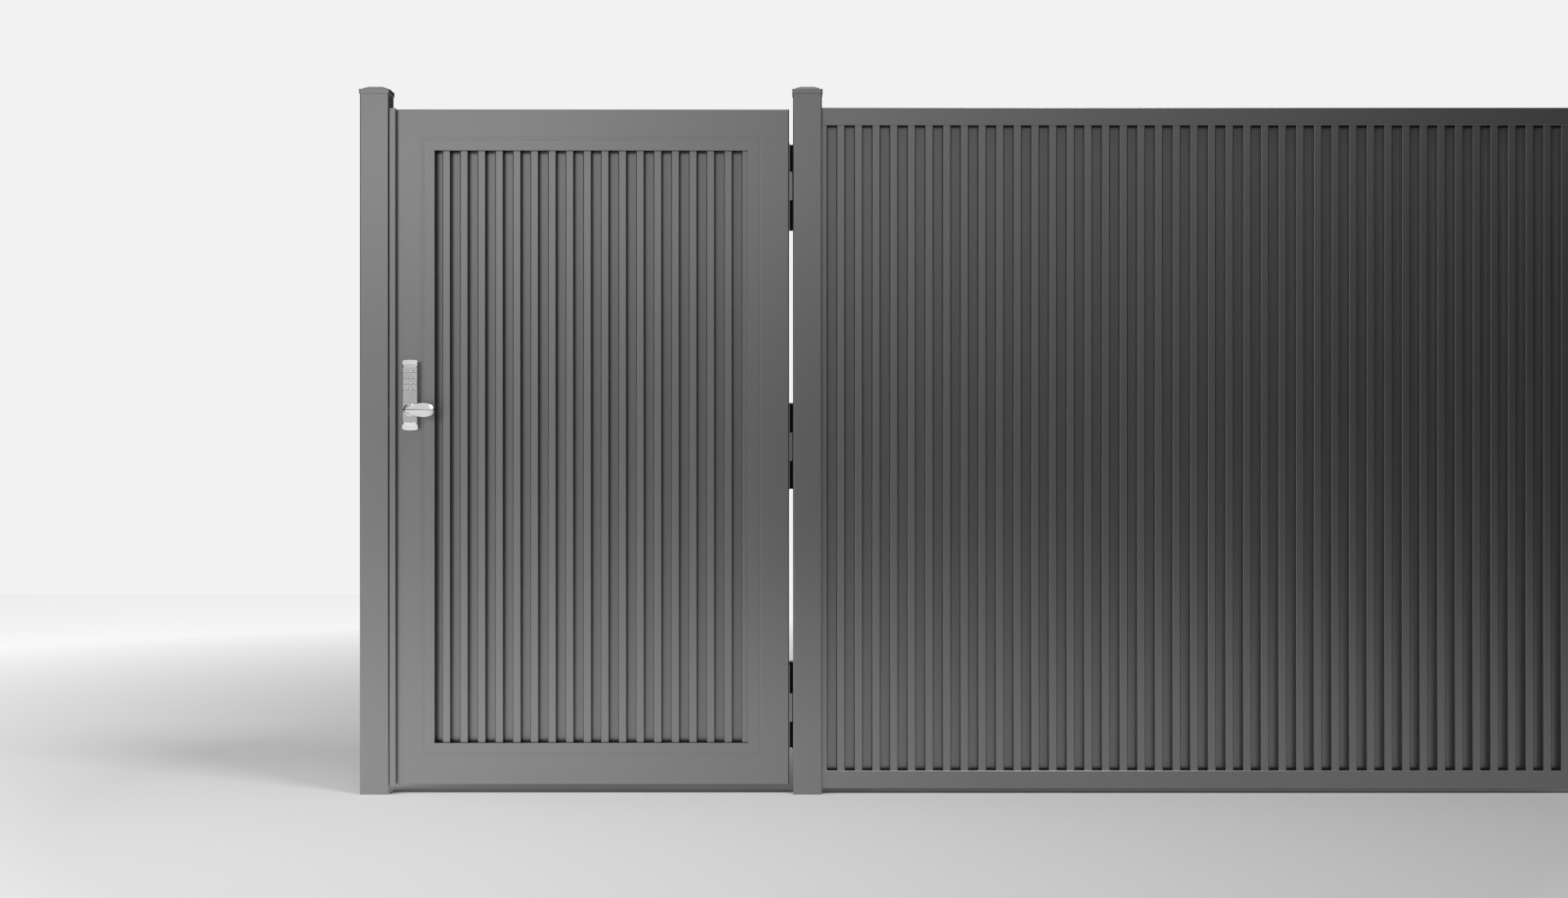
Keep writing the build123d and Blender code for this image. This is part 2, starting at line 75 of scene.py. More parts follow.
def powder_coat_group():
    """Skin of a baked powder coat. A broad noise drifts the tone, and a fine noise is the orange
    peel, both as a height for the bump and as a small change of roughness."""
    drift_scale, peel_scale, peel_gloss = 2.2, 620.0, 0.03
    group, given, result = skin_group(
        "powder coat skin", {"Tone": "Color", "Drift": "Float", "Gloss": "Float"},
        {"Color": "Color", "Roughness": "Float", "Peel": "Float"})
    place = add(group, "TexCoord")["Object"]
    broad = add(group, "TexNoise", {"Vector": place, "Scale": drift_scale, "Detail": 3.0})["Fac"]
    peel = add(group, "TexNoise", {"Vector": place, "Scale": peel_scale, "Detail": 2.0})["Fac"]
    swing = add(group, "Math", {0: broad, 1: 0.5}, operation="SUBTRACT")["Value"]
    amount = add(group, "Math", {0: swing, 1: given["Drift"], 2: 1.0}, operation="MULTIPLY_ADD")["Value"]
    tint = add(group, "VectorMath", {0: given["Tone"], "Scale": amount}, operation="SCALE")["Vector"]
    sheen = add(group, "MapRange", {"Value": peel, "To Min": -peel_gloss, "To Max": peel_gloss})["Result"]
    gloss = add(group, "Math", {0: sheen, 1: given["Gloss"]}, operation="ADD")["Value"]
    fill(group, result, {"Color": tint, "Roughness": gloss, "Peel": peel})
    return group


powder_skin = powder_coat_group()


def coated(name, tone, drift, gloss, peel_height, specular, flake=0.0, painted_shade=""):
    """Powder-coated or moulded surface: the skin group's colour, roughness and peel, with a share of
    metal flake. A painted shade attribute, where one is named, scales the tone down where it is below one."""
    material = bpy.data.materials.new(name)
    material.use_nodes = True
    tree = material.node_tree
    skin = add(tree, "Group", {"Tone": (*tone, 1.0), "Drift": drift, "Gloss": gloss}, node_tree=powder_skin)
    color = skin["Color"]
    # Painted shade: the named attribute darkens the colour point by point
    if painted_shade:
        painted_shade_factor = add(tree, "Attribute", attribute_name=painted_shade)["Fac"]
        color = add(tree, "VectorMath", {0: color, "Scale": painted_shade_factor}, operation="SCALE")["Vector"]
    relief = add(tree, "Bump", {"Strength": 0.25, "Distance": peel_height, "Height": skin["Peel"]})["Normal"]
    fill(tree, tree.nodes["Principled BSDF"], {
        "Base Color": color, "Roughness": skin["Roughness"], "Normal": relief,
        "Metallic": flake, "Specular IOR Level": specular})
    return material


def dress(names, material):
    """Gives CAD nodes their material."""
    for name in names:
        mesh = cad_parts[name].data
        mesh.materials.clear()
        mesh.materials.append(material)


gray_finish = dict(
    tone=(0.30, 0.30, 0.303), drift=0.08, gloss=0.30, peel_height=0.00012, specular=0.30, flake=0.95)
gray_coat = coated("gray powder coat", **gray_finish)
post_names = ("latch_post", "hinge_post", "end_post")
dress(post_names, gray_coat)


# The post caps: cast push-on caps in the posts' own coat. A skirt goes over the tube, then come a
# sloping ledge, a short step, a shallow hip and a low crown, every edge softened by the casting.
def mm(*values):
    """Sizes or points in millimetres, as an array in metres."""
    return 0.001 * np.array(values)


def rounded(line, radius, steps):
    """Open line with its inner corners rounded: each corner becomes an arc of circle that touches
    both of its runs, its points swinging evenly from one touching point to the other. A point on
    each run, just off the arc, keeps the run's shading flat."""
    guard_share, guard_limit = 0.3, 0.001
    before, corner, after = line[:-2], line[1:-1], line[2:]
    radius = np.broadcast_to(np.asarray(radius, float), len(corner))
    back = (before - corner) / np.linalg.norm(before - corner, axis=1)[:, None]
    ahead = (after - corner) / np.linalg.norm(after - corner, axis=1)[:, None]
    half_angle = np.arccos((back * ahead).sum(axis=1)) / 2
    reach = (radius / np.tan(half_angle))[:, None]
    inward = (back + ahead) / np.linalg.norm(back + ahead, axis=1)[:, None]
    middle = corner + inward * (radius / np.sin(half_angle))[:, None]
    start = (corner + back * reach - middle)[:, None]
    end = (corner + ahead * reach - middle)[:, None]
    guard = guard_share * np.minimum(radius, guard_limit)[:, None, None]
    swing = (np.pi - 2 * half_angle)[:, None, None]
    share = np.linspace(0, 1, steps)[None, :, None]
    arc = (np.sin((1 - share) * swing) * start + np.sin(share * swing) * end) / np.sin(swing)
    arc = np.concatenate((start + back[:, None] * guard, arc, end + ahead[:, None] * guard), axis=1)
    return np.concatenate((line[:1], (middle[:, None] + arc).reshape(-1, 2), line[-1:]))


def soft_rings(half_width, half_height, corner, per_corner, per_run):
    """Stack of rectangles with rounded corners, one for each row of sizes. A corner is a quarter
    circle about the point one radius in from both sides; on the runs between, points stand closer
    together near the corners."""
    angle = np.arange(4)[:, None] * np.pi / 2 + np.linspace(0, np.pi / 2, per_corner)
    side = np.array(((1, 1), (-1, 1), (-1, -1), (1, -1)))
    inner = np.stack((half_width - corner, half_height - corner), axis=-1)
    middle = (side[None] * inner[:, None])[:, :, None]
    arc = middle + corner[:, None, None, None] * np.stack((np.cos(angle), np.sin(angle)), axis=-1)[None]
    start, end = np.roll(arc[:, :, :1], -1, axis=1), arc[:, :, -1:]
    share = (1 - np.cos(np.linspace(0, np.pi, per_run + 2)))[1:-1, None] / 2
    rings = np.concatenate((arc, end + (start - end) * share), axis=2)
    return rings.reshape(len(half_width), -1, 2)


def wall_faces(rows, columns, joined=False):
    """Quads between neighbouring rings of a stack; joined also ties the last ring to the first."""
    row = np.arange(rows if joined else rows - 1)[:, None]
    column = np.arange(columns)[None]
    above, beside = (row + 1) % rows, (column + 1) % columns
    low, high = row * columns, above * columns
    return np.stack((low + column, low + beside, high + beside, high + column), axis=-1).reshape(-1, 4)


def capped_faces(rows, columns):
    """A stack of rings, with a flat face that closes its first ring and one that closes its last."""
    ring = np.arange(columns)[None]
    return [wall_faces(rows, columns), ring[:, ::-1], ring + (rows - 1) * columns]


def make(name, points, faces, material):
    """Mesh object of an array of points and groups of faces, with one material."""
    mesh = bpy.data.meshes.new(name)
    face_list = [face for group in faces for face in group.tolist()]
    mesh.from_pydata(np.reshape(points, (-1, 3)).tolist(), [], face_list)
    mesh.materials.append(material)
    made = bpy.data.objects.new(name, mesh)
    bpy.context.scene.collection.objects.link(made)
    return made


def put(name, points, faces, material, body, stands_for=(), crease=32.0):
    """Makes a piece that rides on a body and may stand for CAD nodes. It is shaded smooth, apart
    from edges where its faces meet at more than the crease angle, in degrees."""
    piece = make(name, points, faces, material)
    piece.data.shade_smooth()
    piece.data.set_sharp_from_angle(angle=np.radians(crease))
    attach(piece, body)
    if stands_for:
        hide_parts(*stands_for)
    return piece


# The profile's points are how far in from the skirt's face and how far above its foot
cap_corner = 0.0024
cap_edges = mm(0.3, 0.5, 0.7, 0.5, 0.5, 1.5, 1.2)
cap_profile = rounded(mm(
    (1.7, 9.0), (1.7, 0.0), (0.0, 0.0), (0.0, 12.0), (8.5, 13.3), (8.5, 15.5),
    (16.0, 17.8), (20.0, 20.5), (23.0, 20.5)), cap_edges, steps=5)
for post_name in post_names:
    low, high = np.array(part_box(f"{post_name}_cap"))
    half = (high[0] - low[0]) / 2 - cap_profile[:, 0]
    rings = soft_rings(half, half, np.full(len(half), cap_corner), per_corner=6, per_run=8)
    level = np.broadcast_to(low[2] + cap_profile[:, 1, None, None], (*rings.shape[:2], 1))
    points = np.concatenate((rings + (low[:2] + high[:2]) / 2, level), axis=-1)
    put(f"{post_name}_cap_cast", points, capped_faces(*rings.shape[:2]), gray_coat, "root",
        (f"{post_name}_cap",), crease=20.0)


# The fence rails: U channels in the same coat, let into pockets of the posts at both ends.
# They hold the ribbed sheet in their slots.
dress(("fence_top_rail", "fence_bottom_rail"), gray_coat)


# The fence infill: one thin sheet folded into square ribs and coated after folding.
# It stands in the two channels, cut off square at the posts; its folds have a tight round. Shade is
# painted into the coat down the ribs' sides and in the valleys, which are darker than the ridges.
rib_pitch, ridge_width, gauge = 0.0467, 0.0222, 0.0020
tight_fold, wide_fold, fold_steps = 0.0007, 0.0026, 7
fence_first_ridge = 0.0776
# Painted shade: the coat's tone is scaled to these shares on the ribs' sides and in the valleys
side_painted_shade, valley_painted_shade = 0.50, 0.85
rib_coat_painted_shade = coated("gray powder coat on ribs with painted shade", **gray_finish, painted_shade="painted_shade")


def rib_line(left, right, first_ridge, front, back, narrowing, folds):
    """One face of the folded sheet, as a line across it: along the front of every ridge and the back
    of every valley, with rounded folds. Narrowing moves a ridge's two sides together, for the
    sheet's inner face, by the sheet's gauge, which is its thickness."""
    first, last = np.floor((left - first_ridge) / rib_pitch), np.ceil((right - first_ridge) / rib_pitch)
    ridge = np.arange(first, last + 1)
    edge = first_ridge + ridge * rib_pitch
    low, high = edge + narrowing, edge + ridge_width - narrowing
    across = np.stack((low, low, high, high), axis=1).ravel()
    depth = np.tile((back, front, front, back), len(ridge))
    fold = np.tile((folds[0], folds[1], folds[1], folds[0]), len(ridge))
    kept = (across > left) & (across < right)
    ends = np.array((left, right))
    end_depth = np.where((ends - first_ridge) % rib_pitch < ridge_width, front, back)
    run = np.stack((across[kept], depth[kept]), axis=1)
    line = np.concatenate(((ends[:1], end_depth[:1]), run.T, (ends[1:], end_depth[1:])), axis=1).T
    return rounded(line, fold[kept], fold_steps)


def painted_shade_along(line):
    """Painted shade along one face of the sheet: a factor on the tone, full on the ridges, less down the
    sides, by how steep the line is, and less towards the valleys, by how deep it is."""
    run = np.gradient(line, axis=0)
    steepness = abs(run[:, 1]) / np.linalg.norm(run, axis=1)
    depth = (line[:, 1] - line[:, 1].min()) / np.ptp(line[:, 1])
    return (1 - (1 - side_painted_shade) * steepness) * (1 - (1 - valley_painted_shade) * depth)


def ribbed_sheet(node, first_ridge):
    """Folded sheet in a node's box: the outer and inner line make one closed outline, which is
    carried straight up; strips of quads between the two lines close its foot and its head. The
    painted shade factor goes with the points."""
    low, high = np.array(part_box(node))
    left, right, front, rear = low[0], high[0], low[1], high[1]
    outer = rib_line(left, right, first_ridge, front, rear - gauge, 0.0, (tight_fold, wide_fold))
    inner = rib_line(left, right, first_ridge, front + gauge, rear, gauge, (wide_fold, tight_fold))
    outline = np.concatenate((outer, inner[::-1]))
    count = len(outline)
    level = np.broadcast_to(np.array((low[2], high[2]))[:, None, None], (2, count, 1))
    points = np.concatenate((np.broadcast_to(outline, (2, count, 2)), level), axis=-1)
    step = np.arange(len(outer) - 1)
    head = count + np.stack((step, step + 1, count - 2 - step, count - 1 - step), axis=1)
    faces = [wall_faces(2, count), head, (head - count)[:, ::-1]]
    # Painted shade for the points of both faces, each darker by its own steepness and depth
    painted_shade_factor = np.concatenate((painted_shade_along(outer), painted_shade_along(-inner)[::-1]))
    return points, faces, np.tile(painted_shade_factor, 2)


def mark(piece, name, values):
    """Writes a value for each point of a piece's mesh, as an attribute that its material reads."""
    attribute = piece.data.attributes.new(name, "FLOAT", "POINT")
    attribute.data.foreach_set("value", np.ravel(values).astype(np.float32))


def hang_sheet(name, node, first_ridge, body):
    """Puts a ribbed sheet in place of a node, with its painted shade factor as an attribute."""
    points, faces, painted_shade_factor = ribbed_sheet(node, first_ridge)
    hung = put(name, points, faces, rib_coat_painted_shade, body, (node,))
    mark(hung, "painted_shade", painted_shade_factor)


hang_sheet("fence_ribbed_sheet", "fence_infill", fence_first_ridge, "root")


# The gate stop: a slim bar down the latch post, in the posts' coat. It is fixed along the post in
# front of the leaf's edge, and the leaf closes against it.
dress(("gate_stop",), gray_coat)


# The leaf's frame: rectangular tubes, mitred, welded and ground flush, coated as one with the
# slotted trim that lines it and holds the leaf's own ribbed sheet.
dress(("gate_latch_stile", "gate_hinge_stile", "gate_top_rail", "gate_bottom_rail"), gray_coat)
trim_nodes = ("gate_trim_left", "gate_trim_right", "gate_trim_top", "gate_trim_bottom")
trim_width, trim_bead, bead_tuck = 0.0330, 0.0045, 0.0026
bead_setback, trim_setback, groove_depth, groove_half = 0.00015, 0.00022, 0.00035, 0.0003
slot_half, slot_depth = 0.0140, 0.0180
trim_edges = mm(0.05, 0.05, 0.05, 0.9, 0.5, 0.3)


def trim_ring():
    """Slotted section carried round the frame's opening, mitred at four corners: each point of the
    section, a distance in from the frame and a depth, becomes a rectangle. Its outer bead tucks into
    the round of the frame's edge, and a hairline groove parts the bead from the flat."""
    leaf_low, leaf_high = np.array(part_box("gate_latch_stile"))
    outer_low, outer_high = np.array(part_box("gate_trim_left"))[0], np.array(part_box("gate_trim_right"))[1]
    half_depth, middle_y = (leaf_high[1] - leaf_low[1]) / 2, (leaf_high[1] + leaf_low[1]) / 2
    bead_level, flat_level = half_depth - bead_setback, half_depth - trim_setback
    half_section = np.array((
        (-bead_tuck, bead_level), (trim_bead - groove_half, bead_level),
        (trim_bead, bead_level - groove_depth), (trim_bead + groove_half, flat_level),
        (trim_width, flat_level), (trim_width, slot_half), (trim_width - slot_depth, slot_half)))
    section = np.concatenate((half_section * (1, -1), half_section[::-1]))
    section = rounded(section, np.concatenate((trim_edges, trim_edges[::-1])), steps=4)
    middle, half = (outer_low + outer_high) / 2, (outer_high - outer_low) / 2
    side = np.array(((1, 1), (-1, 1), (-1, -1), (1, -1)))
    across = middle[0] + side[None, :, 0] * (half[0] - section[:, :1])
    height = middle[2] + side[None, :, 1] * (half[2] - section[:, :1])
    depth = np.broadcast_to(middle_y + section[:, 1:], across.shape)
    return np.stack((across, depth, height), axis=-1), [wall_faces(len(section), 4, joined=True)]


trim_points, trim_faces = trim_ring()
put("gate_trim_ring", trim_points, trim_faces, gray_coat, "gate_leaf", trim_nodes)


# The leaf's infill: a narrower length of the fence's folded sheet, with the same ribs and coat.
# The trim's slot holds it on all four sides.
gate_first_ridge = -0.9677
hang_sheet("gate_ribbed_sheet", "gate_infill", gate_first_ridge, "gate_leaf")


# The hinges: black post-side plates with two knuckles each, a gray leaf-side block between them,
# and a bright headed pin. Nylon washers fill the gaps that the leaf's weight would close.
black_coat = coated(
    "black hinge coat", (0.014, 0.014, 0.015), drift=0.2, gloss=0.38, peel_height=0.00010, specular=0.40)
nylon = coated(
    "washer nylon", (0.045, 0.045, 0.047), drift=0.3, gloss=0.50, peel_height=0.00005, specular=0.35)


def metal_skin_group():
    """Skin of bare or plated metal. A fine noise, stretched by the marks per metre given for each
    direction, is the grain of casting, blasting or brushing; a broad one is handling smudge."""
    smudge_scale, grain_shade = 28.0, 0.10
    group, given, result = skin_group(
        "metal skin", {"Tone": "Color", "Marks": "Vector", "Gloss": "Float", "Smudge": "Float"},
        {"Color": "Color", "Roughness": "Float", "Grain": "Float"})
    place = add(group, "TexCoord")["Object"]
    marks = add(group, "VectorMath", {0: place, 1: given["Marks"]}, operation="MULTIPLY")["Vector"]
    grain = add(group, "TexNoise", {"Vector": marks, "Scale": 1.0, "Detail": 3.0})["Fac"]
    smear = add(group, "TexNoise", {"Vector": place, "Scale": smudge_scale, "Detail": 4.0})["Fac"]
    swing = add(group, "Math", {0: smear, 1: 0.5}, operation="SUBTRACT")["Value"]
    rough = add(group, "Math", {0: swing, 1: given["Smudge"], 2: given["Gloss"]}, operation="MULTIPLY_ADD")
    shade = add(group, "Math", {0: grain, 1: grain_shade, 2: 1 - grain_shade / 2}, operation="MULTIPLY_ADD")
    tint = add(group, "VectorMath", {0: given["Tone"], "Scale": shade["Value"]}, operation="SCALE")
    fill(group, result, {"Color": tint["Vector"], "Roughness": rough["Value"], "Grain": grain})
    return group


metal_skin = metal_skin_group()


def bare_metal(name, tone, marks, gloss, smudge, grain_height):
    """Bare or plated metal: the skin group's colour and roughness, with its grain as a fine bump."""
    material = bpy.data.materials.new(name)
    material.use_nodes = True
    tree = material.node_tree
    skin = add(tree, "Group", {"Tone": (*tone, 1.0), "Marks": marks, "Gloss": gloss, "Smudge": smudge},
               node_tree=metal_skin)
    relief = add(tree, "Bump", {"Strength": 0.3, "Distance": grain_height, "Height": skin["Grain"]})["Normal"]
    fill(tree, tree.nodes["Principled BSDF"], {
        "Base Color": skin["Color"], "Roughness": skin["Roughness"], "Normal": relief, "Metallic": 1.0})
    return material


pin_steel = bare_metal(
    "plated pin steel", (0.42, 0.42, 0.41), marks=(900, 900, 120), gloss=0.32, smudge=0.15,
    grain_height=0.00002)


def turned(line, sides):
    """Surface of revolution: every point (radius, level) of a line becomes a ring about the axis.
    The radius may also be given for each side of the ring, as for a six-sided socket."""
    angle = np.arange(sides) * 2 * np.pi / sides
    radius = np.broadcast_to(np.reshape(line[0], (len(line[1]), -1)), (len(line[1]), sides))
    level = np.broadcast_to(np.reshape(line[1], (-1, 1)), radius.shape)
    return np.stack((radius * np.cos(angle), radius * np.sin(angle), level), axis=-1)


def washer(inner, outer, foot, head, edge):
    """Flat ring with softened edges: a small rectangle with cut corners, turned about the axis."""
    sides = 40
    radius = np.array((outer, outer, outer - edge, inner + edge, inner, inner, inner + edge, outer - edge))
    level = np.array((foot + edge, head - edge, head, head, head - edge, foot + edge, foot, foot))
    return turned((radius, level), sides), [wall_faces(len(radius), sides, joined=True)]


block_half, knuckle_gap = 0.0375, 0.0035
pin_hole, bearing_hole, washer_radius = 0.0044, 0.0073, 0.0112
washer_play, washer_edge = 0.0002, 0.0004
for level_name in ("upper", "middle", "lower"):
    dress((f"hinge_bracket_{level_name}",), black_coat)
    dress((f"hinge_arm_{level_name}",), gray_coat)
    dress((f"hinge_pin_{level_name}",), pin_steel)
    hinge_axis = np.array(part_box(f"hinge_pin_{level_name}")).mean(axis=0)
    hinge_axis[2] = np.array(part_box(f"hinge_bracket_{level_name}"))[:, 2].mean()
    for where, hole, foot in (
            ("over", pin_hole, block_half + washer_play), ("under", bearing_hole, -block_half - knuckle_gap)):
        points, faces = washer(hole, washer_radius, foot, foot + knuckle_gap - 2 * washer_play, washer_edge)
        put(f"hinge_washer_{where}_{level_name}", points + hinge_axis, faces, nylon, "root")


# The lock's housing: one die-cast case with a satin nickel finish, screwed through the stile from
# inside. Its ends are bevelled and slightly arched, and a shallow panel is sunk in its front.
lock_satin = bare_metal(
    "satin lock metal", (0.72, 0.72, 0.725), marks=(2600, 2600, 2600), gloss=0.22, smudge=0.08,
    grain_height=0.00002)
front_axes = np.array(((1, 0, 0), (0, 0, 1), (0, -1, 0)))


def stood(points, origin, axes):
    """Turns points from a piece's own across, up and outward directions into the shared frame."""
    return points @ axes + origin


def case_shell(side_line, end_line, half_width, half_height, corner, arch):
    """Housing whose edge follows one profile of (inset, level) along its sides and another over its
    ends. Ring by ring the outline draws in by both insets. A point's level is the sides' on the long
    runs and the ends' on the short ones, and goes from one to the other round each corner by the
    square of the sine. Each end bows out by the arch, as a parabola across the width."""
    per_corner, per_run, least_corner = 8, 9, 0.0012
    width, height = half_width - side_line[:, 0], half_height - end_line[:, 0]
    radius = np.maximum(corner - side_line[:, 0], least_corner)
    rings = soft_rings(width, height, radius, per_corner, per_run)
    bow = arch * (rings[..., 0] / half_width) ** 2 / height[:, None]
    quarter = np.arange(4)[:, None] * np.pi / 2
    arc = quarter + np.linspace(0, np.pi / 2, per_corner)
    run = np.repeat(quarter + np.pi / 2, per_run, axis=1)
    end_share = np.sin(np.concatenate((arc, run), axis=1).ravel()) ** 2
    level = side_line[:, 1, None] * (1 - end_share) + end_line[:, 1, None] * end_share
    points = np.stack((rings[..., 0], rings[..., 1] * (1 - bow), level), axis=-1)
    return points, capped_faces(*rings.shape[:2])


case_low, case_high = np.array(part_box("lock_case"))
case_half, case_origin = (case_high - case_low) / 2, (case_low + case_high) / 2
case_origin[1] = case_high[1]
case_corner, case_arch, panel_level = 0.0060, 0.0022, 0.0272
case_sides = rounded(
    mm((0.0, 0.0), (0.0, 26.0), (1.4, 28.0), (2.6, 28.0), (3.0, 27.2), (6.0, 27.2)),
    mm(0.9, 0.5, 0.2, 0.2), steps=5)
case_ends = rounded(
    mm((0.0, 0.0), (0.0, 21.0), (12.0, 28.0), (20.0, 26.9), (20.6, 27.2), (24.0, 27.2)),
    mm(1.2, 0.6, 0.2, 0.2), steps=5)
points, faces = case_shell(case_sides, case_ends, case_half[0], case_half[2], case_corner, case_arch)
put("lock_housing", stood(points, case_origin, front_axes), faces, lock_satin, "gate_leaf",
    ("lock_case",), crease=24.0)


# The keypad: twelve plain domed push buttons of polished metal, each in a thin rubber gasket that
# keeps the rain out of its bore.
button_polish = bare_metal(
    "polished button metal", (0.74, 0.74, 0.745), marks=(3000, 3000, 3000), gloss=0.20, smudge=0.06,
    grain_height=0.00001)
gasket_rubber = coated(
    "gasket rubber", (0.16, 0.16, 0.163), drift=0.3, gloss=0.55, peel_height=0.00005, specular=0.35)
button_radius, button_rise, button_sides = 0.0035, 0.0018, 24
button_shoulder, button_root = 0.0003, -0.0006
button_columns, button_rows, button_pitch = 3, 4, (0.0127, 0.0154)
crown_turn, crown_steps = 1.48, 8
gasket_inner, gasket_outer = button_radius + 0.00005, button_radius + 0.00035
gasket_foot, gasket_head, gasket_edge = -0.0004, 0.0001, 0.00008


def copies(points, faces, places):
    """One mesh of several equal shapes: the points are shifted to each place, the faces follow."""
    shape = np.reshape(points, (-1, 3))
    shift = np.arange(len(places)) * len(shape)
    many = [(group[None] + shift[:, None, None]).reshape(-1, group.shape[1]) for group in faces]
    return shape[None] + np.reshape(places, (-1, 1, 3)), many


# The buttons stand on the sunk panel, in columns and rows about the middle of their node
keypad_middle = np.array(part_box("keypad_buttons")).mean(axis=0) - case_origin
column, row = np.meshgrid(np.arange(button_columns) - (button_columns - 1) / 2,
                          np.arange(button_rows) - (button_rows - 1) / 2)
button_places = np.stack((
    keypad_middle[0] + column.ravel() * button_pitch[0], keypad_middle[2] + row.ravel() * button_pitch[1],
    np.full(column.size, panel_level)), axis=1)

# A dome is a straight root, then a quarter of an ellipse that stops just short of its middle
crown = np.linspace(0.0, crown_turn, crown_steps)
dome_radius = np.concatenate(((1.0,), np.cos(crown))) * button_radius
crown_level = button_shoulder + (button_rise - button_shoulder) * np.sin(crown)
dome_level = np.concatenate(((button_root,), crown_level))
dome = turned((dome_radius, dome_level), button_sides)
points, faces = copies(dome, capped_faces(*dome.shape[:2]), button_places)
put("keypad_domes", stood(points, case_origin, front_axes), faces, button_polish, "gate_leaf",
    ("keypad_buttons",), crease=60.0)
gasket, gasket_ring = washer(gasket_inner, gasket_outer, gasket_foot, gasket_head, gasket_edge)
points, faces = copies(gasket, gasket_ring, button_places)
put("keypad_gaskets", stood(points, case_origin, front_axes), faces, gasket_rubber, "gate_leaf")


# The roses: round collars of the same satin metal, turned and pressed on, one on each side of the
# leaf. The levers' necks turn in them.
rose_sides = 64
rose_line = rounded(
    mm((17.4, 0.0), (17.4, 2.4), (15.4, 6.0), (12.6, 7.0), (10.2, 6.6), (8.8, 5.0), (8.8, 0.0)),
    mm(0.8, 1.6, 1.2, 0.8, 0.6), steps=5).T
rose_ring = turned(rose_line, rose_sides)
rose_faces = [wall_faces(*rose_ring.shape[:2], joined=True)]
back_axes = np.array(((-1, 0, 0), (0, 0, 1), (0, 1, 0)))
spindle = np.array(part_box("lever_spindle")).mean(axis=0)
outside_seat = np.array((spindle[0], case_origin[1] - panel_level, spindle[2]))
inside_seat = np.array((spindle[0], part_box("inside_plate")[1][1], spindle[2]))
for rose_name, seat, axes in (
        ("lock_rose", outside_seat, front_axes), ("inside_rose", inside_seat, back_axes)):
    put(f"{rose_name}_turned", stood(rose_ring, seat, axes), rose_faces, lock_satin, "gate_leaf",
        (rose_name,), crease=40.0)


# The levers: cast, ground and polished almond-shaped blades on round necks, pinned to a square
# spindle that goes through the leaf. A soft ridge runs from tip to tip along each blade's middle.
lever_polish = bare_metal(
    "polished lever metal", (0.68, 0.68, 0.685), marks=(1800, 3200, 3200), gloss=0.17, smudge=0.08,
    grain_height=0.00001)
lever_heel, lever_reach, lever_stand = 0.009, 0.069, 0.0295
lever_half_height, lever_half_thickness = 0.0184, 0.0100
lever_skew, lever_fullness, lens_power = 1.5, 0.38, 1.74
blade_stations, blade_sides, tip_share = 57, 72, 0.002


def almond(seat, outward):
    """Blade: stations from heel to tip, closer together at both, each with a lens section. The
    fullness of a station is a power of the sine of pi times a skewed share of the length; the lens
    is a circle whose sine and cosine are raised to a power, which leaves a soft ridge along the
    blade's middle, front and back, and slim edges above and below."""
    station = np.linspace(0.0, 1.0, blade_stations)
    share = tip_share + (1 - 2 * tip_share) * (1 - np.cos(np.pi * station)) / 2
    fullness = np.sin(np.pi * share**lever_skew)[:, None] ** lever_fullness
    angle = np.arange(blade_sides) * 2 * np.pi / blade_sides
    across = np.sign(np.cos(angle)) * np.abs(np.cos(angle)) ** lens_power
    up = np.sign(np.sin(angle)) * np.abs(np.sin(angle)) ** lens_power
    depth = outward * lever_stand + lever_half_thickness * fullness * across
    height = lever_half_height * fullness * up
    along = np.broadcast_to((share * (lever_heel + lever_reach) - lever_heel)[:, None], height.shape)
    return np.stack((along, depth, height), axis=-1) + seat, capped_faces(blade_stations, blade_sides)


neck_sides = 48
neck_line = rounded(
    mm((8.5, 0.3), (8.5, 9.0), (7.4, 20.0), (7.4, 26.5), (3.0, 28.5)), mm(6.0, 6.0, 1.5), steps=6).T
neck = turned(neck_line, neck_sides)
neck_faces = capped_faces(*neck.shape[:2])
for lever_name, seat, outward, axes in (
        ("outside_lever", outside_seat, -1, front_axes), ("inside_lever", inside_seat, 1, back_axes)):
    blade, blade_faces = almond(seat, outward)
    put(f"{lever_name}_blade", blade, blade_faces, lever_polish, "lock_lever",
        (lever_name,), crease=70.0)
    put(f"{lever_name}_neck", stood(neck, seat, axes), neck_faces, lever_polish, "lock_lever")
dress(("lever_spindle",), pin_steel)


# The inside plate: the lock's back half, cast like the housing, drawn up against the stile by two
# socket screws that reach through to the case.
inside_low, inside_high = np.array(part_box("inside_plate"))
inside_origin = np.array((spindle[0], inside_low[1], (inside_low[2] + inside_high[2]) / 2))
plate_line = rounded(mm((0.0, 0.0), (0.0, 10.0), (2.0, 12.0), (5.0, 12.0)), mm(0.8, 0.8), steps=5)
points, faces = case_shell(plate_line, plate_line, case_half[0], case_half[2], case_corner, case_arch)
put("inside_plate_cast", stood(points, inside_origin, back_axes), faces, lock_satin, "gate_leaf",
    ("inside_plate",), crease=24.0)
screw_steel = bare_metal(
    "screw steel", (0.55, 0.55, 0.55), marks=(1500, 1500, 1500), gloss=0.30, smudge=0.12,
    grain_height=0.00001)


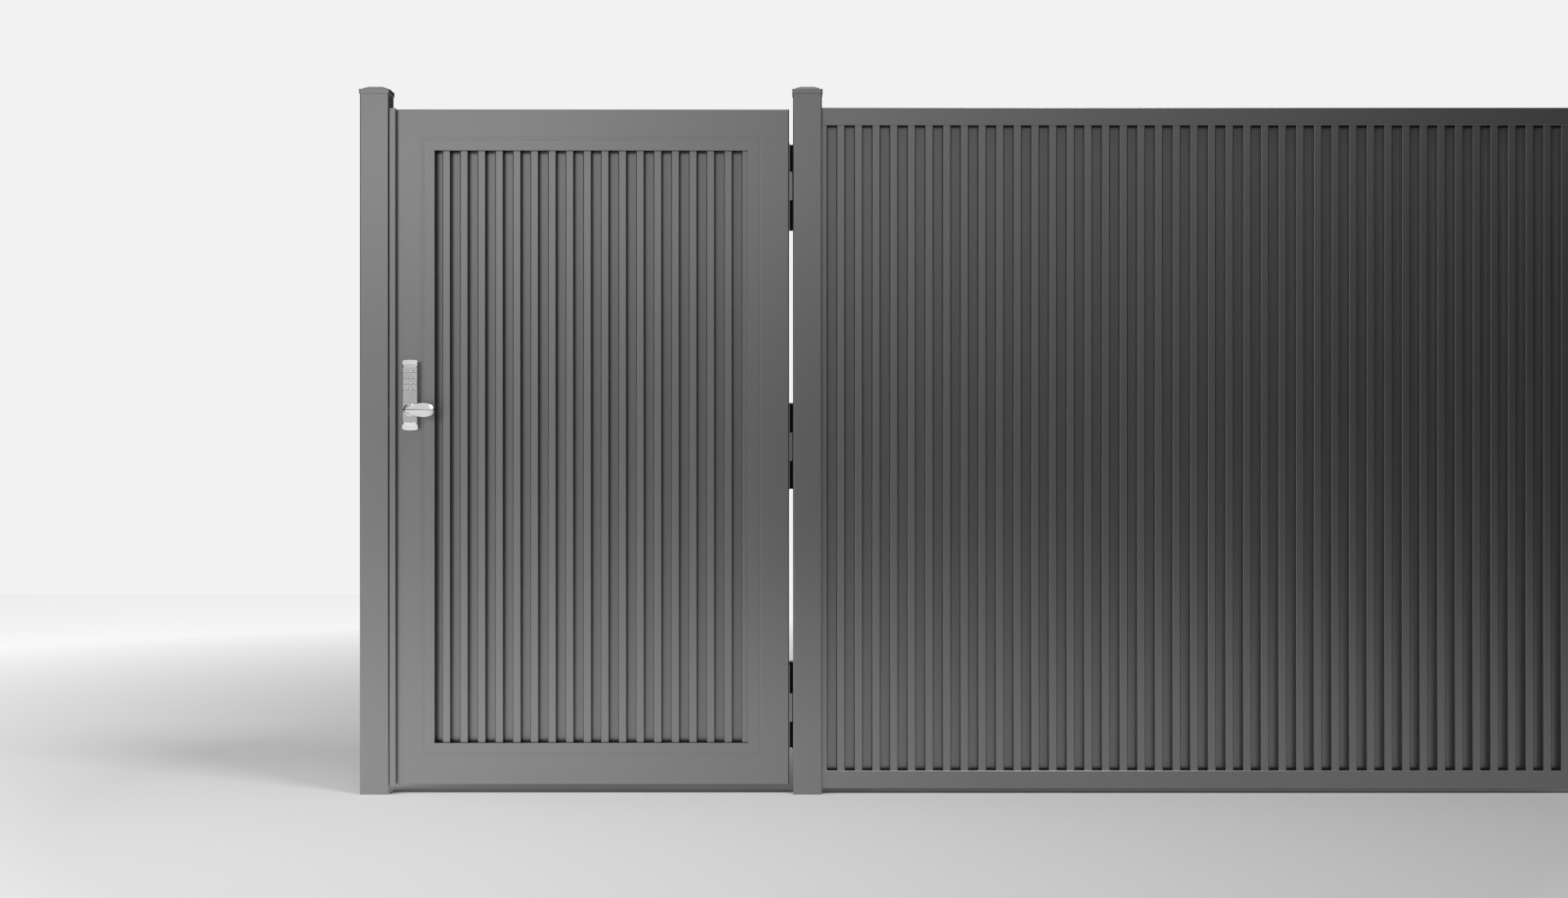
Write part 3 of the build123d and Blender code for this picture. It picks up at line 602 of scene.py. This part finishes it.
def socket_screw(head_radius, head_height, socket, crown_share):
    """Screw head with a six-sided socket: a turned head with a rounded shoulder, whose last rings
    follow a hexagon, half its width across flats over the cosine of the angle from the nearest flat."""
    sides, root, shoulder_foot = 48, -0.001, 0.35
    lead_in, lead_in_level, socket_floor = 1.06, 0.94, 0.3
    angle = np.arange(sides) * 2 * np.pi / sides
    from_flat = (angle + np.pi / 6) % (np.pi / 3) - np.pi / 6
    hexagon = socket / 2 / np.cos(from_flat)
    swing = np.linspace(0.0, np.pi / 2, 6)
    shoulder = head_radius * (1 - crown_share * (1 - np.cos(swing)))
    outer = np.concatenate(((head_radius,), shoulder))
    outer_rings = np.broadcast_to(outer[:, None], (len(outer), sides))
    radius = np.concatenate((outer_rings, np.stack((hexagon * lead_in, hexagon, hexagon))))
    outer_level = head_height * (shoulder_foot + (1 - shoulder_foot) * np.sin(swing))
    socket_level = head_height * np.array((1.0, lead_in_level, socket_floor))
    head = turned((radius, np.concatenate(((root,), outer_level, socket_level))), sides)
    return head, capped_faces(*head.shape[:2])


plate_thickness, plate_screw_reach = 0.012, 0.078
plate_screw, plate_screw_faces = socket_screw(
    head_radius=0.0047, head_height=0.0026, socket=0.0030, crown_share=0.35)
plate_screw_places = ((0.0, plate_screw_reach, plate_thickness), (0.0, -plate_screw_reach, plate_thickness))
points, faces = copies(plate_screw, plate_screw_faces, plate_screw_places)
put("inside_plate_screws", stood(points, inside_origin, back_axes), faces, screw_steel, "gate_leaf")


# The latch and its strike: brushed steel plates let flush into the stile's edge and the latch post,
# each held by two countersunk socket screws, with the bevelled bolt drawn back behind its plate.
latch_steel = bare_metal(
    "brushed latch steel", (0.50, 0.50, 0.50), marks=(1400, 1400, 35), gloss=0.34, smudge=0.12,
    grain_height=0.00002)
dress(("latch_plate", "latch_bolt", "strike_plate"), latch_steel)
left_axes = np.array(((0, -1, 0), (0, 0, 1), (-1, 0, 0)))
right_axes = np.array(((0, 1, 0), (0, 0, 1), (1, 0, 0)))
screw_from_end = 0.012
edge_screw, edge_screw_faces = socket_screw(
    head_radius=0.0040, head_height=0.0005, socket=0.0025, crown_share=0.12)
for plate, body, axes, outer_face in (
        ("latch_plate", "gate_leaf", left_axes, 0), ("strike_plate", "root", right_axes, 1)):
    box = np.array(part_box(plate))
    plate_middle = box.mean(axis=0)
    plate_middle[0] = box[outer_face, 0]
    reach = (box[1, 2] - box[0, 2]) / 2 - screw_from_end
    points, faces = copies(edge_screw, edge_screw_faces, ((0.0, reach, 0.0), (0.0, -reach, 0.0)))
    put(f"{plate}_screws", stood(points, plate_middle, axes), faces, screw_steel, body)


# The studio floor: a pale matt disc under the object, cut off straight behind the fence.
# For the camera it fades outwards into the background. Mirrored in metal or seen through glass, it
# fades behind the fence instead, and a painted glow makes it a little brighter to the left.
floor_radius, floor_back, floor_sides = 9.0, 6.5, 96
# The left glow is painted: emission seen only in metal and glass, brighter to the left
left_start, left_full, left_painted_glow = 0.5, -1.0, 0.26
back_start, back_full, back_glow = 0.0, 4.0, 0.70
outward_start, outward_full, outward_glow = 1.9, 5.0, 0.72
floor_turn = np.linspace(0, 2 * np.pi, floor_sides, endpoint=False)
floor_rim = floor_radius * np.stack((np.cos(floor_turn), np.sin(floor_turn), 0 * floor_turn), axis=1)
floor_rim[:, 1] = np.minimum(floor_rim[:, 1], floor_back)
floor_paint = bpy.data.materials.new("pale floor")
floor_paint.use_nodes = True
paint = floor_paint.node_tree
spot = add(paint, "TexCoord")["Object"]
spot_axes = add(paint, "SeparateXYZ", {"Vector": spot})
spot_distance = add(paint, "VectorMath", {0: spot}, operation="LENGTH")["Value"]
ray = add(paint, "LightPath")
mirrored_ray = add(
    paint, "Math", {0: ray["Is Glossy Ray"], 1: ray["Is Transmission Ray"]}, operation="MAXIMUM")["Value"]
floor_glow = 0.0
for reached, ray_kind, start, full, glow in (
        (spot_axes["X"], mirrored_ray, left_start, left_full, left_painted_glow),
        (spot_axes["Y"], mirrored_ray, back_start, back_full, back_glow),
        (spot_distance, ray["Is Camera Ray"], outward_start, outward_full, outward_glow)):
    fade = add(paint, "MapRange", {"Value": reached, "From Min": start, "From Max": full, "To Max": glow})
    floor_glow = add(
        paint, "Math", {0: fade["Result"], 1: ray_kind, 2: floor_glow}, operation="MULTIPLY_ADD")["Value"]
fill(paint, paint.nodes["Principled BSDF"], {
    "Base Color": (0.80, 0.80, 0.80, 1.0), "Roughness": 0.9, "Specular IOR Level": 0.0,
    "Emission Color": (1.0, 1.0, 1.0, 1.0), "Emission Strength": floor_glow})
# The glow is only looked at, so it isn't sampled as a lamp
floor_paint.cycles.emission_sampling = "NONE"
make("studio_floor", floor_rim, [np.arange(floor_sides)[None]], floor_paint)


# The background: a pale even tone all round, which the camera, metal and glass see.
# For the rest the world gives only a little soft light.
world = bpy.data.worlds.new("studio")
world.use_nodes = True
bpy.context.scene.world = world
sky = world.node_tree
backdrop = sky.nodes["Background"]
fill(sky, backdrop, {"Color": (0.888, 0.888, 0.888, 1.0), "Strength": 1.0})
soft_light = add(sky, "Background", {"Color": (1.0, 1.0, 1.0, 1.0), "Strength": 0.12})["Background"]
ray = add(sky, "LightPath")
seen = add(sky, "Math", {0: ray["Is Camera Ray"], 1: ray["Is Glossy Ray"]}, operation="MAXIMUM")["Value"]
seen = add(sky, "Math", {0: seen, 1: ray["Is Transmission Ray"]}, operation="MAXIMUM")["Value"]
either = add(sky, "MixShader", {"Fac": seen, 1: soft_light, 2: backdrop.outputs["Background"]})["Shader"]
fill(sky, sky.nodes["World Output"], {"Surface": either})


# The lamps: a key high at the front right, and a wide soft lamp over the floor at the left, which
# the metal doesn't mirror.
def softbox(name, place, aim, width, height, power, mirrored, spread=180.0):
    """Rectangular area lamp that looks from its place at a point, with its spread in degrees."""
    lamp = bpy.data.lights.new(name, "AREA")
    lamp.shape = "RECTANGLE"
    lamp.size = width
    lamp.size_y = height
    lamp.energy = power
    lamp.spread = np.radians(spread)
    box = bpy.data.objects.new(name, lamp)
    box.location = place
    box.rotation_euler = (Vector(aim) - Vector(place)).to_track_quat("-Z", "Y").to_euler()
    box.visible_camera = False
    box.visible_glossy = mirrored
    bpy.context.scene.collection.objects.link(box)


softbox("key_front_right", place=(1.28, -1.96, 5.70), aim=(-0.6, 0.0, 0.8),
        width=1.2, height=1.2, power=88.0, mirrored=True)
softbox("over_floor", place=(-2.2, -1.4, 4.8), aim=(-2.0, -1.2, 0.0),
        width=3.6, height=2.6, power=90.0, mirrored=False, spread=130.0)


# The curtain: dark cloth in a ring of the floor's radius, with glowing cards on it for the metal to
# mirror, bright at the front left and fading towards the right. The camera doesn't see it, and it
# lights nothing but what mirrors it.
curtain_height, curtain_rows, curtain_columns = 8.0, 21, 72
curtain_cloth = bpy.data.materials.new("curtain cloth")
curtain_cloth.use_nodes = True
cloth = curtain_cloth.node_tree
fill(cloth, cloth.nodes["Principled BSDF"], {
    "Base Color": (0.02, 0.02, 0.02, 1.0), "Emission Color": (1.0, 1.0, 1.0, 1.0),
    "Emission Strength": add(cloth, "Attribute", attribute_name="glow")["Fac"]})
curtain_cloth.cycles.emission_sampling = "NONE"

# A card's middle is a bearing in degrees, from straight in front and positive to the right, and a
# height in metres; its reach and rise are how far it glows to each side and up and down
cards = {
    "low left": dict(bearing=-36.0, height=0.0, reach=20.0, rise=0.8, strength=2.00),
    "low front left": dict(bearing=-20.0, height=0.0, reach=15.0, rise=0.8, strength=2.40),
    "front left": dict(bearing=-20.0, height=2.8, reach=15.0, rise=1.9, strength=2.10),
    "front": dict(bearing=-6.0, height=2.8, reach=14.0, rise=1.9, strength=0.85),
    "high front": dict(bearing=-6.0, height=5.0, reach=14.0, rise=2.6, strength=0.70),
    "front right": dict(bearing=8.0, height=2.8, reach=15.0, rise=1.9, strength=0.55),
    "high right": dict(bearing=24.0, height=5.0, reach=19.0, rise=2.6, strength=0.50),
    "back left": dict(bearing=-120.0, height=4.0, reach=50.0, rise=16.0, strength=0.60),
    "back right": dict(bearing=115.0, height=4.0, reach=40.0, rise=16.0, strength=0.60)}


def card_glow(across, up, bearing, height, reach, rise, strength):
    """Glow of one card on the curtain, a tent: its strength times one less the bearing's distance
    from its middle over its reach, times the same in height over its rise, with nothing below zero."""
    beside = np.clip(1 - abs(across - bearing) / reach, 0, 1)
    above = np.clip(1 - abs(up - height) / rise, 0, 1)
    return strength * beside * above


across, up = np.meshgrid(np.linspace(-180.0, 180.0, curtain_columns, endpoint=False),
                         np.linspace(0.0, curtain_height, curtain_rows))
turn = np.radians(across)
curtain_points = np.stack((floor_radius * np.sin(turn), -floor_radius * np.cos(turn), up), axis=-1)
curtain = make("curtain", curtain_points, [wall_faces(curtain_rows, curtain_columns)], curtain_cloth)
mark(curtain, "glow", sum(card_glow(across, up, **card) for card in cards.values()))
curtain.visible_camera = False
curtain.visible_diffuse = False


# The camera: level and square to the fence at about chest height, a 50 mm lens on a 36 mm frame.
# Its view is shifted down a little, in the picture's pixels, so that upright lines stay upright.
picture_width, shift_down = 1920, 37
camera_data = bpy.data.cameras.new("camera")
camera_data.lens = 50.0
camera_data.sensor_width = 36.0
camera_data.shift_y = -shift_down / picture_width
camera = bpy.data.objects.new("camera", camera_data)
camera.location = (-0.0619, -5.772, 0.990)
camera.rotation_euler = (np.pi / 2, 0.0, 0.0)
bpy.context.scene.collection.objects.link(camera)
bpy.context.scene.camera = camera
bpy.context.scene.view_settings.view_transform = "Standard"
